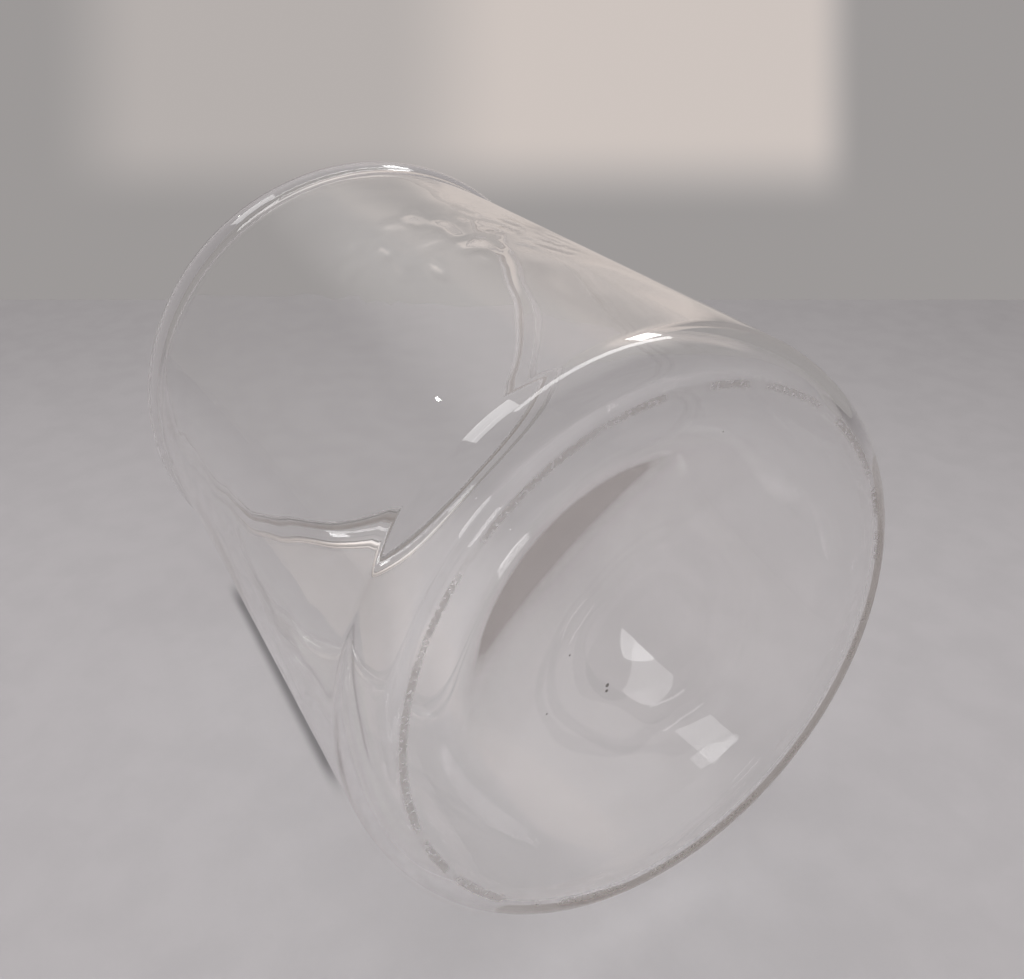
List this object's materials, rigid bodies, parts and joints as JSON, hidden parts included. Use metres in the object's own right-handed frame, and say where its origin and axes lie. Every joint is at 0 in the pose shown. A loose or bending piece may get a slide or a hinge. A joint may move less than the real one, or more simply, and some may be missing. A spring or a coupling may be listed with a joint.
{
  "type": "gas jar",
  "caption": "Wide clear glass jar with a straight wall, rounded heel, pushed-up base on a thin bearing ring, and a rolled rim with a flat top.",
  "frame": {"origin": "on the jar's axis, in the plane of the bearing ring that it stands on", "axes": "+Z along the jar's axis, from the base to the open mouth; the jar is round, so X and Y may point anywhere"},
  "size_m": [0.1028, 0.1028, 0.124],
  "materials": {
    "glass": "clear, glossy, lightly scuffed on the bearing ring"
  },
  "bodies": {
    "root": {"jar": "glass"}
  },
  "joints": []
}
